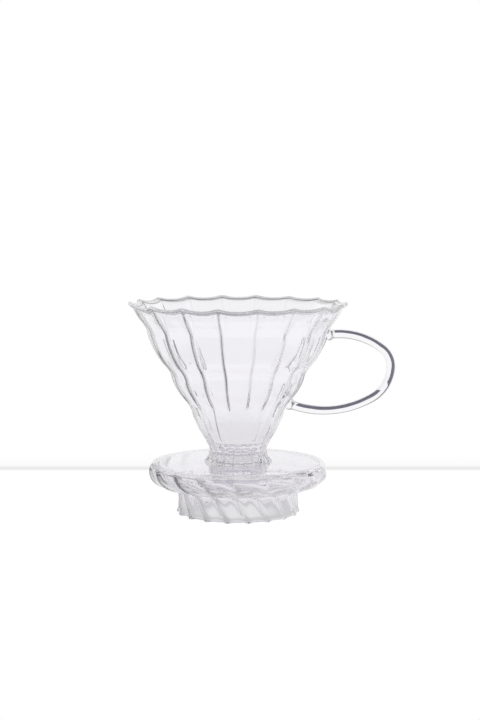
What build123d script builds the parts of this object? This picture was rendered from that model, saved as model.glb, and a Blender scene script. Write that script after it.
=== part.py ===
"""All-glass pour-over dripper: a fluted filter cone on a round swirl-ribbed base, with a rod handle.

Millimetres, +Z up. The origin is the centre of the circle that the foot stands on, and the handle
points along +X. The glass is built up the way a lamp worker joins it: a blown cone, a collar, a
flat plate, a blown roll and skirt, a drip spout, and a bent rod held by two welds.
"""

import os
from math import cos, radians, sin, tau

from build123d import *

# Flutes and ribs: the same count goes round the cone and the base
lobes = 18
points_per_lobe = 6

# Filter cone: the outside of its smooth neck and of its rippled, fluted wall, as height and radius
wall = 1.9
wall_angle = 29
neck_bottom = 30.4
flare_top = 109.2
neck_profile = (
    (neck_bottom, 15.5), (34.4, 15.3), (38.0, 17.0), (42.4, 19.7), (46.9, 22.0), (50.9, 23.7), (54.4, 24.8),
)
wall_profile = (
    (57.4, 26.3), (61.4, 29.6), (65.4, 32.4), (69.4, 34.4), (73.4, 35.6), (76.9, 37.5), (80.9, 40.9),
    (84.9, 43.5), (89.4, 45.8), (93.4, 47.3), (97.4, 48.4), (100.4, 50.3), (103.9, 53.0), (107.4, 54.7),
    (flare_top, 56.6),
)
neck_flute_depth = 0.4
flute_depth = 1.1
inner_softness = 0.6

# Rim bead
rim_top = 111.4
rim_radius = 57.7
rim_thickness = 3.2
rim_rounding = 0.5

# Neck collar, with its outside given as height above the plate and radius
collar_profile = ((0.0, 17.5), (0.9, 17.8), (2.0, 16.2), (3.4, 15.5))
collar_lobe = 0.8
bore_radius = 12.9

# Base plate, roll and skirt
plate_top = 27.0
plate_thickness = 2.0
plate_radius = 43.2
roll_radius = 47.1
roll_middle = 22.2
roll_bottom = 14.9
roll_wall = 2.0
roll_top_inset = 3.0
roll_under_inset = 8.5
roll_rib = 0.9
roll_least_rib = 0.09
roll_twist = radians(24)
skirt_radius = 31.9
skirt_rib = 0.8
skirt_steps = 4
skirt_twist = radians(12)

# Foot lip
lip_radius = 32.5
lip_height = 1.6
lip_inner_radius = 29.6
lip_rounding = 0.5

# Drip spout
spout_bottom = 18.5
spout_radius = 14.6
spout_rounding = 0.5

# Handle
rod_radius = 2.3
handle_start = (46.5, 94.1)
handle_heading = 10.5
handle_bends = ((36.5, -49), (12, -55), (19, -56), (51, -35), (52, -17))
weld_radius = 3.7
upper_weld = (48.6, 94.5)
lower_weld = (27.4, 56.6)


def lobed_points(tip_radius, depth, turn=0.0):
    """Points once round a circle whose narrow lobes stand out by depth, turned by turn."""
    count = lobes * points_per_lobe
    points = []
    for step in range(count):
        angle = tau * step / count
        crest = (0.5 + 0.5 * cos(lobes * angle)) ** 1.5
        radius = tip_radius - depth * (1 - crest)
        points.append((radius * cos(angle + turn), radius * sin(angle + turn)))
    return points


def lobed_outlines(sections):
    """Flat lobed faces to loft through, each given as height, tip radius, rib depth and turn."""
    outlines = []
    for height, radius, depth, turn in sections:
        with BuildSketch(Plane.XY.offset(height), mode=Mode.PRIVATE) as outline:
            with BuildLine():
                Spline(*lobed_points(radius, depth, turn), periodic=True)
            make_face()
        outlines.append(outline.sketch.face())
    return outlines


def cone_sections():
    """Outlines of the cone's outside, from its neck up to the flare under the rim."""
    neck = [(height, radius, neck_flute_depth, 0.0) for height, radius in neck_profile]
    fluted = [(height, radius, flute_depth, 0.0) for height, radius in wall_profile]
    return neck + fluted


def moved_in(sections, thickness, softness):
    """The same outlines a wall's thickness further in, with shallower flutes."""
    return [(height, radius - thickness, depth * softness, turn) for height, radius, depth, turn in sections]


def beaded(bottom, top, radius, rounding, depth):
    """Outlines of a ring that bulges by rounding halfway between its bottom and its top."""
    middle = (bottom + top) / 2
    heights = ((bottom, rounding), (middle, 0.0), (top, rounding))
    return [(height, radius - inset, depth, 0.0) for height, inset in heights]


def roll_sections(thickness, depth):
    """Outlines of the roll's outside, or of its hollow a wall's thickness further in."""
    sections = []
    for angle in range(90, -91, -30):
        upper = angle > 0
        rise = plate_top - roll_middle if upper else roll_middle - roll_bottom
        inset = roll_top_inset if upper else roll_under_inset
        height = roll_middle + (rise - thickness) * sin(radians(angle))
        radius = roll_radius - thickness - inset * (1 - cos(radians(angle)))
        share = (height - roll_bottom) / (plate_top - roll_bottom)
        rib = max(roll_least_rib, depth * cos(radians(angle))) if upper else depth
        sections.append((height, radius, rib, -skirt_twist - roll_twist * share))
    return sections


def skirt_sections():
    """Outlines of the skirt, turned back evenly from its lip up to the roll."""
    sections = []
    for step in range(skirt_steps + 1):
        share = step / skirt_steps
        height = lip_height + share * (roll_bottom - lip_height)
        sections.append((height, skirt_radius, skirt_rib, -skirt_twist * share))
    return sections


os.makedirs("parts", exist_ok=True)

# Filter cone: one blown, fluted and rippled wall, open at both ends
cone_outline = cone_sections()
wall_across = wall / cos(radians(wall_angle))
with BuildPart() as cone_envelope:
    loft(lobed_outlines(cone_outline))

with BuildPart() as filter_cone:
    add(cone_envelope.part)
    loft(lobed_outlines(moved_in(cone_outline, wall_across, inner_softness)), mode=Mode.SUBTRACT)
filter_cone.part.label = "filter_cone"
export_step(filter_cone.part, "parts/filter_cone.step")

# Rim bead: the rolled, fire-polished edge on top of the cone
rim_outline = beaded(flare_top, rim_top, rim_radius, rim_rounding, flute_depth)
rim_mouth = beaded(flare_top, rim_top, rim_radius - rim_thickness, -rim_rounding, flute_depth)
with BuildPart() as rim_bead:
    loft(lobed_outlines(rim_outline))
    loft(lobed_outlines(rim_mouth), mode=Mode.SUBTRACT)
rim_bead.part.label = "rim_bead"
export_step(rim_bead.part, "parts/rim_bead.step")

# Neck collar: the flared, lobed skirt of glass that seals the neck to the plate
collar_outline = [(plate_top + rise, radius, collar_lobe, 0.0) for rise, radius in collar_profile]
with BuildPart() as neck_collar:
    loft(lobed_outlines(collar_outline))
    with BuildSketch(Plane.XY.offset(plate_top)):
        Circle(bore_radius)
    extrude(amount=neck_bottom - plate_top, mode=Mode.SUBTRACT)
neck_collar.part.label = "neck_collar"
export_step(neck_collar.part, "parts/neck_collar.step")

# Base plate: the flat clear disc that the neck stands on
plate_bottom = plate_top - plate_thickness
with BuildPart() as base_plate:
    with BuildSketch(Plane.XY.offset(plate_bottom)):
        Circle(plate_radius)
        Circle(bore_radius, mode=Mode.SUBTRACT)
    extrude(amount=plate_thickness)
base_plate.part.label = "base_plate"
export_step(base_plate.part, "parts/base_plate.step")

# Base roll: the hollow rounded edge round the plate, whose ribs go on from the skirt's and swirl further
with BuildPart() as base_roll:
    loft(lobed_outlines(roll_sections(0.0, roll_rib)))
    loft(lobed_outlines(roll_sections(roll_wall, roll_rib / 2)), mode=Mode.SUBTRACT)
    with BuildSketch(Plane.XY.offset(plate_bottom)):
        Circle(plate_radius)
    extrude(amount=plate_thickness, mode=Mode.SUBTRACT)
    with BuildSketch(Plane.XY.offset(roll_bottom)):
        Circle(skirt_radius - wall)
    extrude(amount=roll_wall, mode=Mode.SUBTRACT)
base_roll.part.label = "base_roll"
export_step(base_roll.part, "parts/base_roll.step")

# Server skirt: the ribbed ring under the roll that drops into the mouth of a server or a mug
with BuildPart() as server_skirt:
    loft(lobed_outlines(skirt_sections()))
    with BuildSketch(Plane.XY.offset(lip_height)):
        Circle(skirt_radius - wall)
    extrude(amount=roll_bottom - lip_height, mode=Mode.SUBTRACT)
server_skirt.part.label = "server_skirt"
export_step(server_skirt.part, "parts/server_skirt.step")

# Foot lip: the fire-polished lobed ring that the dripper stands on
with BuildPart() as foot_lip:
    loft(lobed_outlines(beaded(0.0, lip_height, lip_radius, lip_rounding, skirt_rib)))
    with BuildSketch(Plane.XY):
        Circle(lip_inner_radius)
    extrude(amount=lip_height, mode=Mode.SUBTRACT)
foot_lip.part.label = "foot_lip"
export_step(foot_lip.part, "parts/foot_lip.step")

# Drip spout: the short tube under the plate that the coffee leaves by
with BuildPart() as drip_spout:
    with BuildSketch(Plane.XY.offset(spout_bottom)):
        Circle(spout_radius)
        Circle(bore_radius, mode=Mode.SUBTRACT)
    extrude(amount=plate_bottom - spout_bottom)
    fillet(drip_spout.edges().group_by(Axis.Z)[0], spout_rounding)
drip_spout.part.label = "drip_spout"
export_step(drip_spout.part, "parts/drip_spout.step")

# Handle rod: a solid round rod bent through tangent arcs from the upper to the lower weld
with BuildPart() as handle_rod:
    with BuildLine(Plane.XZ) as rod_path:
        heading = radians(handle_heading)
        point = handle_start
        direction = (cos(heading), sin(heading))
        for bend_radius, bend_angle in handle_bends:
            bend = JernArc(point, direction, bend_radius, bend_angle)
            point = bend @ 1
            direction = bend % 1
    with BuildSketch(Plane(origin=rod_path.line @ 0, z_dir=rod_path.line % 0)):
        Circle(rod_radius)
    sweep(path=rod_path.line)
    add(cone_envelope.part, mode=Mode.SUBTRACT)
handle_rod.part.label = "handle_rod"
export_step(handle_rod.part, "parts/handle_rod.step")

# Handle welds: beads of glass where the rod is fused to the cone
for name, centre in (("upper_handle_weld", upper_weld), ("lower_handle_weld", lower_weld)):
    with BuildPart() as handle_weld:
        with Locations((centre[0], 0, centre[1])):
            Sphere(weld_radius)
        add(cone_envelope.part, mode=Mode.SUBTRACT)
        add(handle_rod.part, mode=Mode.SUBTRACT)
    handle_weld.part.label = name
    export_step(handle_weld.part, f"parts/{name}.step")
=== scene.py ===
"""All-glass pour-over dripper: fluted cone, swirl-ribbed base and rod handle, on a white table."""

import math
import random
from typing import NamedTuple

import bmesh
import bpy
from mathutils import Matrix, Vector


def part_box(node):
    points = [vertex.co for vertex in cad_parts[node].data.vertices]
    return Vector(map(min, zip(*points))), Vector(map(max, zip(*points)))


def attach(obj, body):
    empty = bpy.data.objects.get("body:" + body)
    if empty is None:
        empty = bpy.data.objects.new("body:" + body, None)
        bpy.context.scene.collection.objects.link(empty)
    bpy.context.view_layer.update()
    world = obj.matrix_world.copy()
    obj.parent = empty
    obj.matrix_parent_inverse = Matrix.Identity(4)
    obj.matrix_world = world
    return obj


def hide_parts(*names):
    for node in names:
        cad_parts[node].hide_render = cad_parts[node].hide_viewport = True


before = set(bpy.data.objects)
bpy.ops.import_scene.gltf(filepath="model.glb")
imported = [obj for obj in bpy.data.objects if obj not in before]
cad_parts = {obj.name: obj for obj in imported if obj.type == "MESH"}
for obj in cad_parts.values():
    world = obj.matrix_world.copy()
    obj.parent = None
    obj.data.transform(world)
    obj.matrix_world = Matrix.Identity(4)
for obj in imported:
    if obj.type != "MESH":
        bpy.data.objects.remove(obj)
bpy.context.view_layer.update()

MM = 0.001

# Sizes are in millimetres and turned into metres where the meshes are made
LOBES = 18
PITCH = math.tau / LOBES
BORE = 12.9

# Colours of the glass, how dark the painted shade lines along the ridges are, and how wide those lines are
TINT = (0.972, 0.965, 0.985)
BASE_TINT = (0.925, 0.912, 0.942)
RIDGE_SHADE = 0.97
CONE_RIDGE_WIDTH = 3.2
BASE_RIDGE_WIDTH = 13.0


def in_millimetres(node):
    """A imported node's lowest and highest corners."""
    return [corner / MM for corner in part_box(node)]


RIM_RADIUS, RIM_TOP = in_millimetres("rim_bead")[1].x, in_millimetres("rim_bead")[1].z
COLLAR_FOOT = in_millimetres("neck_collar")[0].z
PLATE_TOP = in_millimetres("base_plate")[1].z
ROLL_UNDER = in_millimetres("base_roll")[0].z
SPOUT_TIP = in_millimetres("drip_spout")[0].z


# ---------------------------------------------------------------- curves and lathes

def smooth_path(keys, step):
    """Points along a Catmull-Rom curve through the keys, about step apart."""
    keys = [Vector(key) for key in keys]
    padded = [2 * keys[0] - keys[1], *keys, 2 * keys[-1] - keys[-2]]
    path = []
    for before, start, end, after in zip(padded, padded[1:], padded[2:], padded[3:]):
        count = max(2, round((end - start).length / step))
        for index in range(count):
            t = index / count
            path.append(0.5 * (
                2 * start
                + (end - before) * t
                + (2 * before - 5 * start + 4 * end - after) * t * t
                + (3 * start - before - 3 * end + after) * t ** 3
            ))
    path.append(keys[-1])
    return path


def moved_in(path, distance):
    """The path moved sideways by distance, towards the axis when the path climbs."""
    moved = []
    for before, here, after in zip([path[0], *path], path, [*path[1:], path[-1]]):
        along = (after - before).normalized()
        moved.append(here + Vector((-along.y, along.x)) * distance)
    return moved


def distances(path):
    """How far along the path each of its points is."""
    length = [0.0]
    for start, end in zip(path, path[1:]):
        length.append(length[-1] + (end - start).length)
    return length


def smooth_step(low, high, value):
    """0 below low, 1 above high, and a smooth rise between."""
    t = min(1.0, max(0.0, (value - low) / (high - low)))
    return t * t * (3 - 2 * t)


def crest(u, width):
    """A rib's outline across half a flute: 1 on the rib at u = 0, 0 in the flute's middle at u = 1."""
    near = math.sqrt(u * u + 0.0016)
    return 0.5 * math.exp(-((near / width) ** 2)) + 0.5 * max(0.0, 1 - near) ** 2


def swell(u):
    """The softer outline that the wall's inside follows."""
    return 0.5 + 0.5 * math.cos(math.pi * u)


def boldness(height):
    """How dark a rib's painted shade line is: the tallest ribs have the boldest lines."""
    return min(1.0, max(0.2, (height - 0.85) * 2.2)) ** 1.5


class Ring(NamedTuple):
    """One level of a lathe: its radius and height, and how ribs are cut into it."""
    r: float
    z: float
    rib: float = 0.0      # how deep the flutes are between the ribs
    lift: float = 0.0     # how far the ribs stand above the flutes
    turn: float = 0.0     # how far the ribs have swirled round
    outer: float = 1.0    # 1 for the crisp ribs of the outside, 0 for the soft ones of the inside
    width: float = 0.3    # how wide a rib's crest is, as a share of half a flute


def columns(per_lobe, jitter, seed, bold, extra):
    """A lathe's columns, closer near the ribs: each column's angle, how far it is from its rib, and height.

    Each rib is a little off its place, and they are taller by extra towards the bold side, where the painted
    shade lines along them are darker too.
    """
    rng = random.Random(seed)
    off = [rng.uniform(-jitter, jitter) for _ in range(LOBES)]
    tall = [rng.uniform(0.9, 1.1) + extra * math.cos(lobe * PITCH - bold) for lobe in range(LOBES)]
    half = per_lobe // 2
    spots = []
    for lobe in range(LOBES):
        for index in range(-half, half):
            u = index / half
            u = math.copysign(abs(u) ** 1.45, u)
            neighbour = (lobe + (1 if u > 0 else -1)) % LOBES
            share = 0.5 * abs(u)
            angle = lobe * PITCH + u * PITCH / 2
            angle += (off[lobe] * (1 - share) + off[neighbour] * share) * PITCH
            height = tall[lobe] * (1 - share) + tall[neighbour] * share
            spots.append((angle, abs(u), height))
    return spots


def lathe(name, rings, spots, tint, ridge, ridge_width, body):
    """A closed shell from a closed loop of rings, with a column at each spot.

    The colours hold the glass's tint with painted shade: a dark line is painted along each ridge, ridge gives
    how dark at a ring, and body gives how much colour is left after painted shade at a height, on the outside
    or not, at a rib's own height.
    """
    count = len(spots)
    verts, colours = [], []
    for ring in rings:
        outside = ring.outer == 1.0
        line_darkness = ridge(ring.z, ring.rib) if outside else 0.0
        for angle, u, height in spots:
            shape = ring.outer * crest(u, ring.width) + (1 - ring.outer) * swell(u)
            radius = ring.r - ring.rib * (1 - shape) * height
            up = ring.z + ring.lift * (shape - 0.5) * height
            a = angle + ring.turn
            verts.append((radius * MM * math.cos(a), radius * MM * math.sin(a), max(up, 0.0) * MM))
            # Painted shade: clear is the colour left after it at this height, and line paints a dark stripe
            # along the ridge
            clear = body(ring.z, outside, height)
            line = math.exp(-((u * ring.r / ridge_width) ** 2))
            shade = clear - clear * RIDGE_SHADE * line_darkness * boldness(height) * line
            colours.extend((tint[0] * shade, tint[1] * shade, tint[2] * shade, 1.0))
    faces = []
    for i in range(len(rings)):
        j = (i + 1) % len(rings)
        for k in range(count):
            m = (k + 1) % count
            faces.append((i * count + k, i * count + m, j * count + m, j * count + k))
    mesh = bpy.data.meshes.new(name)
    mesh.from_pydata(verts, [], faces)
    # The glass tint with its painted shade is kept as a colour attribute
    mesh.color_attributes.new("tint_and_painted_shade", "FLOAT_COLOR", "POINT").data.foreach_set("color", colours)
    return finished(name, mesh)


def placed(name, data):
    """An object in the scene, from a mesh or a camera."""
    item = bpy.data.objects.new(name, data)
    bpy.context.scene.collection.objects.link(item)
    return item


def finished(name, mesh):
    """A smooth-shaded object from a mesh, with its faces turned outward."""
    work = bmesh.new()
    work.from_mesh(mesh)
    bmesh.ops.recalc_face_normals(work, faces=work.faces)
    if work.calc_volume(signed=True) < 0:
        bmesh.ops.reverse_faces(work, faces=work.faces)
    work.to_mesh(mesh)
    work.free()
    for polygon in mesh.polygons:
        polygon.use_smooth = True
    return placed(name, mesh)


# ---------------------------------------------------------------- the cone

WALL = 1.9
PLATE_GAP = 0.02

# The outside of the wall at its rib tips, as radius and height: smooth neck, then ripples like steps
WALL_KEYS = (
    (15.25, 32.2), (15.2, 34.4), (17.0, 38.0), (19.7, 42.4), (21.95, 46.9), (23.65, 50.9), (24.7, 54.4),
    (26.3, 57.4), (29.5, 61.4), (32.3, 65.4), (34.3, 69.4), (35.5, 73.4), (37.3, 76.4), (40.7, 80.4),
    (43.3, 84.4), (45.8, 89.4), (47.3, 93.4), (48.4, 97.4), (50.3, 100.4), (52.9, 103.9), (54.8, 107.2),
)

# Heights between which the flutes begin, the neck widens and the wall flares, and where scallops start
FLUTES = (56, 60.5)
FLUTES_INSIDE = (56, 61)
NECK_INSIDE = (35, 40)
FLARE = (97, 110)
SCALLOPS = 103

RIM_LIFT = 1.2
RIM_BEAD = 1.0
WAIST_RING = 0.14
WAIST_LIFT = 0.5

# The painted shade line just under the rim's bead: how far below the top, how wide, and how dark
RIM_LINE_DROP = 1.95
RIM_LINE_WIDTH = 0.36
RIM_LINE_SHADE = 0.92


def waist(z):
    """1 in the uneven neck just above the collar, 0 elsewhere."""
    return smooth_step(29, 31.5, z) * (1 - smooth_step(37, 42, z))


def cone_rings():
    """The cone's closed profile: up the outside, over the rim and down the inside and the bore."""
    foot = COLLAR_FOOT + PLATE_GAP
    collar = smooth_path([
        (17.3, foot), (17.85, foot + 0.55), (17.2, foot + 1.5), (15.9, foot + 2.9), (15.25, foot + 5.0),
    ], 0.7)
    wall = smooth_path(WALL_KEYS, 0.9)
    inner_wall = moved_in(wall, WALL)
    bead = []
    for degrees in range(-30, 151, 20):
        a = math.radians(degrees)
        bead.append((RIM_RADIUS + RIM_BEAD * (math.cos(a) - 1), RIM_TOP - 0.4 + RIM_BEAD * (math.sin(a) - 1)))
    below_bead = (RIM_RADIUS - 1.5, RIM_TOP - 2.5)
    inside_bead = (RIM_RADIUS - 2.7, RIM_TOP - 1.5)
    edge = smooth_path([WALL_KEYS[-1], below_bead, *bead, inside_bead, inner_wall[-1]], 0.3)
    inside = [point for point in reversed(inner_wall) if point.x > BORE + 0.3]
    bore = smooth_path([(BORE + 0.05, 33.0), (BORE, 31.5), (BORE, foot + 0.3), (BORE + 0.3, foot)], 1.2)
    rings = []
    for r, z in collar + wall[1:-1] + edge[:-1]:
        flare = smooth_step(*FLARE, z)
        neck = 1 - smooth_step(foot + 2.5, foot + 9, z)
        collar_dip = 0.5 * (1 - smooth_step(foot, foot + 1.2, z))
        r += WAIST_RING * math.sin(math.tau * (z - 31) / 2.9) * waist(z)
        rib = 0.25 + 1.1 * smooth_step(*FLUTES, z) + 0.5 * neck + 0.4 * flare
        lift = RIM_LIFT * smooth_step(SCALLOPS, RIM_TOP, z) - collar_dip + WAIST_LIFT * waist(z)
        rings.append(Ring(r, z, rib, lift, width=0.13 + 0.27 * flare))
    for r, z in inside + bore:
        flare = smooth_step(*FLARE, z)
        neck = 1 - smooth_step(*NECK_INSIDE, z)
        r -= WAIST_RING * math.cos(math.tau * (z - 31) / 2.3) * waist(z)
        rib = 0.15 + 0.8 * smooth_step(*FLUTES_INSIDE, z) + 0.7 * flare + 0.35 * neck
        lift = RIM_LIFT * smooth_step(SCALLOPS, RIM_TOP, z) + WAIST_LIFT * waist(z)
        rings.append(Ring(r, z, rib, lift, outer=0.7 + 0.3 * flare, width=0.18 + 0.22 * flare))
    for r in (14.2, 15.4, 16.5):
        rings.append(Ring(r, foot, rib=0.3, width=0.16))
    return rings


def cone_ridge(z, _rib):
    """How dark the painted shade line along a ridge of the cone is: full along the fluted wall, none on the
    neck and the rim.
    """
    return smooth_step(56.5, 61, z) * (1 - smooth_step(108, 110.4, z))


def cone_body(z, outside, height):
    """How much colour the cone keeps after painted shade: darker towards the neck, and a heavy painted shade
    line under the rim's bead.
    """
    clear = 0.94 + 0.06 * smooth_step(42, 62, z)
    if outside:
        rim_shade_strength = min(1.0, max(0.4, 0.8 + 1.3 * (height - 1)))
        near = math.exp(-(((z - RIM_TOP + RIM_LINE_DROP) / RIM_LINE_WIDTH) ** 2))
        clear *= 1 - RIM_LINE_SHADE * rim_shade_strength * near
    return clear


cone_columns = columns(20, 0.035, 3, math.radians(207), 0.25)
cone = lathe("glass_cone", cone_rings(), cone_columns, TINT, cone_ridge, CONE_RIDGE_WIDTH, cone_body)

# ---------------------------------------------------------------- the base

# How far the ribs turn for each millimetre along the outside, from the foot up to the plate
SWIRL = -math.radians(0.95)
SWIRL_END = SWIRL * 44
ROLL_MIDDLE = 22.2
ROLL_RADIUS = 47.2
ROLL_RISES = (PLATE_TOP - ROLL_MIDDLE, ROLL_MIDDLE - ROLL_UNDER)
ROLL_INSETS = (3.2, 8.0)
HOLLOW_RADIUS = ROLL_RADIUS - 2
HOLLOW_RISES = (ROLL_RISES[0] - 2, ROLL_RISES[1] - 2.1)
HOLLOW_INSETS = (2.6, 7.4)
PLATE_THICKNESS = 2.0
PLATE_EDGE = 42.8
PLATE_RINGS = 22
SKIRT_RADIUS = 31.9
LIP_DROP = 0.5


def roll_arc(degrees, radius, rises, insets):
    """A point of the roll's section. The rises and insets are those of its top and its underside."""
    a = math.radians(degrees)
    rise, inset = (rises[0], insets[0]) if degrees > 0 else (rises[1], insets[1])
    return radius - inset * (1 - math.cos(a)), ROLL_MIDDLE + rise * math.sin(a)


def base_outside():
    """The path from the plate's edge round the roll and down the skirt to the foot."""
    under = ROLL_UNDER
    outline = [roll_arc(degrees, ROLL_RADIUS, ROLL_RISES, ROLL_INSETS) for degrees in range(84, -91, -6)]
    outline += [(36.6, under - 0.05), (34.8, under - 0.25), (33.2, under - 0.8), (32.35, under - 1.7)]
    outline += [(SKIRT_RADIUS + 0.1, under - 3.0), (SKIRT_RADIUS, 8.5), (SKIRT_RADIUS, 5.0)]
    outline += [(SKIRT_RADIUS + 0.05, 2.6), (32.5, 1.3), (32.6, 0.75), (32.2, 0.22), (31.5, 0.0)]
    return smooth_path(outline, 0.55)


def base_inside():
    """The path from the foot up the inside of the skirt and round the hollow of the roll."""
    inner = [(30.2, 0.25), (29.95, 1.2), (29.9, 4.0), (29.9, 9.0), (29.95, 13.2), (30.5, 15.3), (31.8, 16.6)]
    inner += [(33.6, 17.0)]
    inner += [roll_arc(degrees, HOLLOW_RADIUS, HOLLOW_RISES, HOLLOW_INSETS) for degrees in range(-84, 61, 8)]
    inner += [(42.2, PLATE_TOP - 2.05)]
    return smooth_path(inner, 0.7)


def base_rings():
    """The base's closed profile: plate top, roll, skirt, lip, and back up the inside and the spout."""
    rings = []
    for index in range(PLATE_RINGS + 1):
        r = BORE + 0.25 + (PLATE_EDGE - BORE) * index / PLATE_RINGS
        rings.append(Ring(r, PLATE_TOP, turn=SWIRL_END))
    outside = base_outside()
    along_outside = distances(outside)
    for (r, z), along in zip(outside, along_outside):
        lip = 1 - smooth_step(0.8, 3.0, z)
        rib = smooth_step(0.0, 5.0, along) * (1.05 + 0.3 * lip)
        turn = SWIRL * (along_outside[-1] - along)
        width = 0.4 - 0.15 * (1 - smooth_step(ROLL_UNDER - 2, ROLL_UNDER + 1, z))
        rings.append(Ring(r, z, rib, -LIP_DROP * lip, turn, width=width))
    inside = base_inside()
    along_inside = distances(inside)
    for (r, z), along in zip(inside, along_inside):
        share = along / along_inside[-1]
        rib = 0.45 * smooth_step(0, 1.5, along) * (1 - smooth_step(0.8, 1.0, share))
        rings.append(Ring(r, z, rib, turn=SWIRL_END * share, outer=0.0))
    for r in (40.5, 37, 33, 29, 25, 21.5, 18.5, 16.6):
        rings.append(Ring(r, PLATE_TOP - PLATE_THICKNESS, turn=SWIRL_END))
    top, tip = PLATE_TOP, SPOUT_TIP
    spout = smooth_path([
        (15.4, top - 2.15), (14.8, top - 2.8), (14.6, top - 4.2), (14.6, tip + 2.0), (14.5, tip + 0.6),
        (13.75, tip), (13.05, tip + 0.5), (BORE, tip + 2), (BORE, top - 3), (BORE, top - 0.3),
    ], 0.9)
    rings += [Ring(r, z, turn=SWIRL_END) for r, z in spout]
    return rings


def base_ridge(z, rib):
    """How dark the painted shade line along a ridge of the base is: most on the roll, less on the skirt, none
    on the plate.
    """
    return 0.35 * smooth_step(0.3, 1.0, rib) * (1 + 1.8 * smooth_step(15, 18, z))


def base_body(_z, _outside, _height):
    """The base gets no painted shade but its ridge lines: the same all over."""
    return 1.0


base_columns = columns(20, 0.03, 11, math.radians(217), 0.4)
base = lathe("glass_base", base_rings(), base_columns, BASE_TINT, base_ridge, BASE_RIDGE_WIDTH, base_body)

# ---------------------------------------------------------------- the handle

ROD_RADIUS = 2.32
ROD_STEP = 0.8
ROD_SIDES = 40
WELD_FLARE = 0.38
HANDLE_START = (46.5, 94.06)
HANDLE_HEADING = 10.8
HANDLE_BENDS = ((36.5, -48.8), (12.2, -55.6), (19.2, -56.1), (51, -35.6), (51.7, -16.6))


def handle_path(step):
    """Points and headings along the rod's middle line, as a chain of tangent arcs."""
    x, z = HANDLE_START
    heading = math.radians(HANDLE_HEADING)
    points = [(x, z, heading)]
    for radius, bend in HANDLE_BENDS:
        turn = math.radians(bend)
        count = max(4, round(radius * abs(turn) / step))
        for _ in range(count):
            half = turn / count / 2
            chord = 2 * radius * abs(math.sin(half))
            heading += half
            x += chord * math.cos(heading)
            z += chord * math.sin(heading)
            heading += half
            points.append((x, z, heading))
    return points


def handle():
    """The bent rod, a touch uneven, flared where it is fused to the cone at both ends."""
    path = handle_path(ROD_STEP)
    last = len(path) - 1
    verts, faces = [], []
    for index, (x, z, heading) in enumerate(path):
        from_end = min(index, last - index) * ROD_STEP
        flare = 1 + WELD_FLARE * math.exp(-(((from_end - 1.2) / 1.5) ** 2))
        uneven = 1 + 0.015 * math.sin(index * 0.11) + 0.01 * math.sin(index * 0.27 + 1)
        radius = ROD_RADIUS * flare * uneven
        across = (-math.sin(heading), math.cos(heading))
        for k in range(ROD_SIDES):
            a = math.tau * k / ROD_SIDES
            out, side = radius * math.cos(a), radius * math.sin(a)
            verts.append(((x + across[0] * out) * MM, side * MM, (z + across[1] * out) * MM))
    for i in range(last):
        low, high = i * ROD_SIDES, (i + 1) * ROD_SIDES
        for k in range(ROD_SIDES):
            m = (k + 1) % ROD_SIDES
            faces.append((low + k, low + m, high + m, high + k))
    faces.append(tuple(range(ROD_SIDES)))
    faces.append(tuple(reversed(range(last * ROD_SIDES, (last + 1) * ROD_SIDES))))
    mesh = bpy.data.meshes.new("glass_handle")
    mesh.from_pydata(verts, [], faces)
    return finished("glass_handle", mesh)


rod = handle()

# ---------------------------------------------------------------- glass

GLASS_IOR = 1.47
MOST_ROUGH = 0.03


def glass(name, tint, wave_scale, wave_height, ridge_shade_painted):
    """Clear borosilicate: a faint tint, tiny changes of gloss and slow waves left by the mould."""
    material = bpy.data.materials.new(name)
    material.use_nodes = True
    nodes, links = material.node_tree.nodes, material.node_tree.links
    shader = nodes["Principled BSDF"]
    shader.inputs["Base Color"].default_value = (*tint, 1)
    shader.inputs["Transmission Weight"].default_value = 1.0
    shader.inputs["IOR"].default_value = GLASS_IOR
    place = nodes.new("ShaderNodeTexCoord")
    waves = nodes.new("ShaderNodeTexNoise")
    waves.inputs["Scale"].default_value = wave_scale
    waves.inputs["Detail"].default_value = 2.0
    gloss = nodes.new("ShaderNodeMapRange")
    gloss.inputs["To Min"].default_value = 0.0
    gloss.inputs["To Max"].default_value = MOST_ROUGH
    bump = nodes.new("ShaderNodeBump")
    bump.inputs["Strength"].default_value = 0.5
    bump.inputs["Distance"].default_value = wave_height
    links.new(place.outputs["Object"], waves.inputs["Vector"])
    links.new(waves.outputs["Fac"], gloss.inputs["Value"])
    links.new(gloss.outputs["Result"], shader.inputs["Roughness"])
    links.new(waves.outputs["Fac"], bump.inputs["Height"])
    links.new(bump.outputs["Normal"], shader.inputs["Normal"])
    # The colour attribute holds the tint with painted shade along the ridges and under the rim
    if ridge_shade_painted:
        thickness = nodes.new("ShaderNodeAttribute")
        thickness.attribute_name = "tint_and_painted_shade"
        links.new(thickness.outputs["Color"], shader.inputs["Base Color"])
    return material


# Wave heights are in metres
blown = glass("blown_glass", TINT, 90, 0.00008, ridge_shade_painted=True)
ribbed = glass("ribbed_glass", BASE_TINT, 120, 0.00005, ridge_shade_painted=True)
drawn = glass("rod_glass", TINT, 60, 0.0001, ridge_shade_painted=False)

for piece, material, slot, nodes in (
    (cone, blown, "blown_glass", ("filter_cone", "rim_bead", "neck_collar")),
    (base, ribbed, "ribbed_glass", ("base_plate", "base_roll", "server_skirt", "foot_lip", "drip_spout")),
    (rod, drawn, "rod_glass", ("handle_rod", "upper_handle_weld", "lower_handle_weld")),
):
    piece.data.materials.append(material)
    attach(piece, "root")
    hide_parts(*nodes)

# ---------------------------------------------------------------- studio

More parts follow.
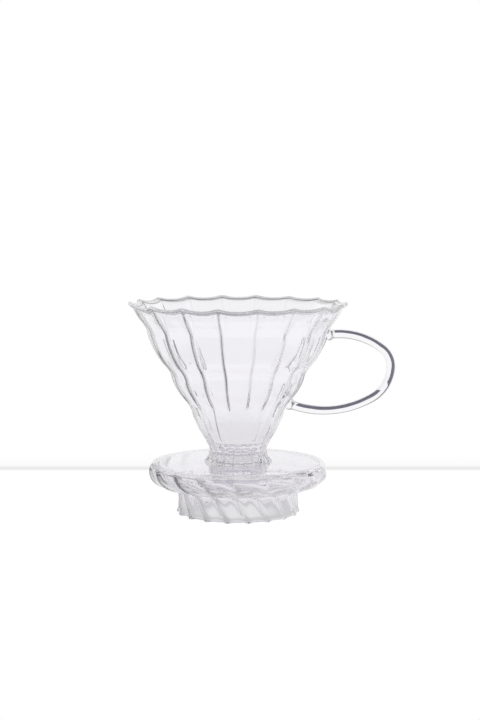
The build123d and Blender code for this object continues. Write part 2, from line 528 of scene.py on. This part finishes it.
# Brightness that the glass sees, by degrees above the horizon and by degrees round the dripper
STUDIO_HEIGHTS = ((-90, 0.75), (-30, 0.75), (-18, 0.9), (-9, 0.97), (30, 0.97), (44, 0.25), (90, 0.25))
STUDIO_STRIPS = (
    (-180, 0.95), (-170, 0.95), (-166, 0.4), (-149, 0.4), (-145, 0.97), (12, 0.97), (17, 0.75), (29, 0.75),
    (34, 1.0), (103, 1.0), (106, 0.25), (122, 0.25), (126, 0.97), (146, 0.97), (149, 0.3), (166, 0.3),
    (170, 0.95), (180, 0.95),
)

# Painted shadow on the backdrop: it fades to a pale grey, with a darker line in it, just above the table's
# far edge. Its heights are slopes of view, so that the line is straight across the picture
SHADOW_TOP_SLOPE = -0.164
SHADOW_LINE_SLOPE = -0.1757
SHADOW_END_SLOPE = -0.1774
SHADOW_FADE_DEPTH = 0.055
LINE_WIDTH = 0.0011
LINE_DEPTH = 0.13
STRAIGHT_AHEAD = 0.9

# The table's edges, in metres, and its brightness to the glass, with painted shade: a painted shadow under
# the base, and darker to the left and at the far edge, by distance from the axis, across and deep
TABLE_NEAR, TABLE_FAR, TABLE_HALF = -0.6, 0.125, 0.6
TABLE_DROP = 0.0001
TABLE_UNDER = ((0.0, 0.82), (0.014, 0.82), (0.023, 0.62), (0.032, 0.64), (0.038, 0.86), (0.1, 0.95))
TABLE_ACROSS = ((-0.2, 0.85), (-0.062, 0.85), (-0.052, 1.0), (0.2, 1.0))
TABLE_DEEP = ((-0.3, 1.0), (0.12, 1.0), (0.125, 0.9))

# The dark cards behind the handle, as x and z
FLAG_DEPTH = 14
FLAG_COLOUR = (0.13, 0.13, 0.17, 1)
UPPER_FLAG = (
    (51, 82), (51, 91.6), (59, 91.8), (67.5, 90.1), (75.8, 86.1), (80, 80.5), (81.3, 74.3), (79.8, 67.5),
    (71, 69), (72.3, 75), (70, 79.5), (66, 82), (60, 83),
)
LOWER_FLAG = (
    (30, 44), (30, 53.8), (39, 52), (48, 52.1), (54, 52.5), (62, 54.2), (69.3, 57), (77, 62.5),
    (82.5, 54), (74, 47), (62, 43), (48, 41.5), (39, 41.5),
)


def emptied(owner):
    """The node tree of a material or a world, with nothing in it."""
    owner.use_nodes = True
    owner.node_tree.nodes.clear()
    return owner.node_tree


def math_node(tree, operation, *values):
    """The output of a Math node fed with numbers and sockets."""
    node = tree.nodes.new("ShaderNodeMath")
    node.operation = operation
    for socket, value in zip(node.inputs, values):
        if isinstance(value, (int, float)):
            socket.default_value = value
        else:
            tree.links.new(value, socket)
    return node.outputs[0]


def from_to(tree, source, low, high):
    """The source as 0 at low and 1 at high."""
    span = tree.nodes.new("ShaderNodeMapRange")
    span.inputs["From Min"].default_value = low
    span.inputs["From Max"].default_value = high
    tree.links.new(source, span.inputs["Value"])
    return span.outputs["Result"]


def grey_ramp(tree, source, stops, interpolation):
    """Grey levels that follow a source from 0 to 1. Each stop is a position and a level."""
    ramp = tree.nodes.new("ShaderNodeValToRGB")
    tree.links.new(source, ramp.inputs[0])
    ramp.color_ramp.interpolation = interpolation
    elements = ramp.color_ramp.elements
    while len(elements) < len(stops):
        elements.new(0.5)
    for element, (position, level) in zip(elements, stops):
        element.position = position
        element.color = (level, level, level, 1)
    return ramp.outputs[0]


def split_axes(tree, vector):
    """The x, y and z of a vector socket."""
    split = tree.nodes.new("ShaderNodeSeparateXYZ")
    tree.links.new(vector, split.inputs[0])
    return split.outputs


def studio():
    """A pale bright-field studio, dim overhead and in a few strips. To the camera it is a white backdrop with
    a painted shadow above the table's far edge.
    """
    world = bpy.data.worlds.new("studio")
    bpy.context.scene.world = world
    tree = emptied(world)
    x, y, z = split_axes(tree, tree.nodes.new("ShaderNodeTexCoord").outputs["Generated"])
    heights = [(0.5 + 0.5 * math.sin(math.radians(degrees)), level) for degrees, level in STUDIO_HEIGHTS]
    by_height = grey_ramp(tree, from_to(tree, z, -1, 1), heights, "EASE")
    around = math_node(tree, "MULTIPLY_ADD", math_node(tree, "ARCTAN2", y, x), 1 / math.tau, 0.5)
    strips = [(0.5 + degrees / 360, level) for degrees, level in STUDIO_STRIPS]
    by_strip = grey_ramp(tree, around, strips, "EASE")
    level = math_node(tree, "MULTIPLY", by_height, by_strip)

    slope = math_node(tree, "DIVIDE", z, y)
    # The painted shadow: a fade and a dark line just above the table's far edge
    edge_shadow = math_node(tree, "POWER", from_to(tree, slope, SHADOW_TOP_SLOPE, SHADOW_LINE_SLOPE), 2)
    edge_shadow = math_node(tree, "MULTIPLY", edge_shadow, SHADOW_FADE_DEPTH)
    off = math_node(tree, "DIVIDE", math_node(tree, "SUBTRACT", slope, SHADOW_LINE_SLOPE), LINE_WIDTH)
    squared = math_node(tree, "MULTIPLY", off, off)
    line = math_node(tree, "EXPONENT", math_node(tree, "MULTIPLY", squared, -1.0))
    line = math_node(tree, "MULTIPLY", line, LINE_DEPTH)
    fade = math_node(tree, "ADD", edge_shadow, line)
    facing = math_node(tree, "GREATER_THAN", y, STRAIGHT_AHEAD)
    ahead = math_node(tree, "MULTIPLY", facing, math_node(tree, "GREATER_THAN", slope, SHADOW_END_SLOPE))
    backdrop = math_node(tree, "SUBTRACT", 1.0, math_node(tree, "MULTIPLY", fade, ahead))

    seen = tree.nodes.new("ShaderNodeLightPath").outputs["Is Camera Ray"]
    for_glass = math_node(tree, "MULTIPLY", math_node(tree, "SUBTRACT", 1.0, seen), level)
    mixed = math_node(tree, "ADD", for_glass, math_node(tree, "MULTIPLY", seen, backdrop))
    background = tree.nodes.new("ShaderNodeBackground")
    output = tree.nodes.new("ShaderNodeOutputWorld")
    tree.links.new(mixed, background.inputs["Color"])
    tree.links.new(background.outputs[0], output.inputs[0])


def glowing(tree, colour):
    """An emission shader of a colour, or of a socket's colour, as the material's surface."""
    glow = tree.nodes.new("ShaderNodeEmission")
    output = tree.nodes.new("ShaderNodeOutputMaterial")
    if isinstance(colour, tuple):
        glow.inputs["Color"].default_value = colour
    else:
        tree.links.new(colour, glow.inputs["Color"])
    tree.links.new(glow.outputs[0], output.inputs[0])


def table():
    """A white table top. The glass sees it with painted shade: a painted shadow under the base, and darker to
    the left and at its far edge.
    """
    corners = [
        (-TABLE_HALF, TABLE_NEAR, 0), (TABLE_HALF, TABLE_NEAR, 0),
        (TABLE_HALF, TABLE_FAR, 0), (-TABLE_HALF, TABLE_FAR, 0),
    ]
    mesh = bpy.data.meshes.new("table")
    mesh.from_pydata(corners, [], [(0, 1, 2, 3)])
    top = placed("table", mesh)
    top.location.z = -TABLE_DROP
    material = bpy.data.materials.new("white_table")
    tree = emptied(material)
    place = tree.nodes.new("ShaderNodeTexCoord").outputs["Object"]
    distance = tree.nodes.new("ShaderNodeVectorMath")
    distance.operation = "LENGTH"
    tree.links.new(place, distance.inputs[0])
    x, y, _ = split_axes(tree, place)
    levels = []
    for source, stops in ((distance.outputs["Value"], TABLE_UNDER), (x, TABLE_ACROSS), (y, TABLE_DEEP)):
        low, high = stops[0][0], stops[-1][0]
        spread = [((metres - low) / (high - low), level) for metres, level in stops]
        levels.append(grey_ramp(tree, from_to(tree, source, low, high), spread, "LINEAR"))
    under, across, deep = levels
    # Painted shadow and shade for the glass only; the camera sees the table evenly white
    shade = math_node(tree, "MULTIPLY", math_node(tree, "MULTIPLY", under, across), deep)
    seen = tree.nodes.new("ShaderNodeLightPath").outputs["Is Camera Ray"]
    glowing(tree, math_node(tree, "MAXIMUM", shade, seen))
    mesh.materials.append(material)


def flag(name, outline):
    """A dark card standing behind the handle, seen only through the glass."""
    corners = [(x * MM, FLAG_DEPTH * MM, z * MM) for x, z in outline]
    mesh = bpy.data.meshes.new(name)
    mesh.from_pydata(corners, [], [tuple(range(len(corners)))])
    card = placed(name, mesh)
    card.visible_camera = False
    card.visible_glossy = False
    material = bpy.data.materials.new(name)
    glowing(emptied(material), FLAG_COLOUR)
    mesh.materials.append(material)


studio()
table()
flag("upper_flag", UPPER_FLAG)
flag("lower_flag", LOWER_FLAG)

# ---------------------------------------------------------------- camera

# The camera's place in metres, how far it looks down in degrees, and its lens in millimetres
CAMERA_PLACE = (0.00105, -0.826, 0.1684)
CAMERA_TILT = 6.05
LENS = 79.0

# Light passes many glass walls and runs along inside the plate before it gets out
BOUNCES = 72

camera_data = bpy.data.cameras.new("camera")
camera_data.lens = LENS
camera = placed("camera", camera_data)
camera.location = CAMERA_PLACE
camera.rotation_euler = (math.radians(90 - CAMERA_TILT), 0, 0)
bpy.context.scene.camera = camera

scene = bpy.context.scene
scene.view_settings.view_transform = "Standard"
scene.cycles.max_bounces = BOUNCES
scene.cycles.transmission_bounces = BOUNCES
scene.cycles.glossy_bounces = BOUNCES
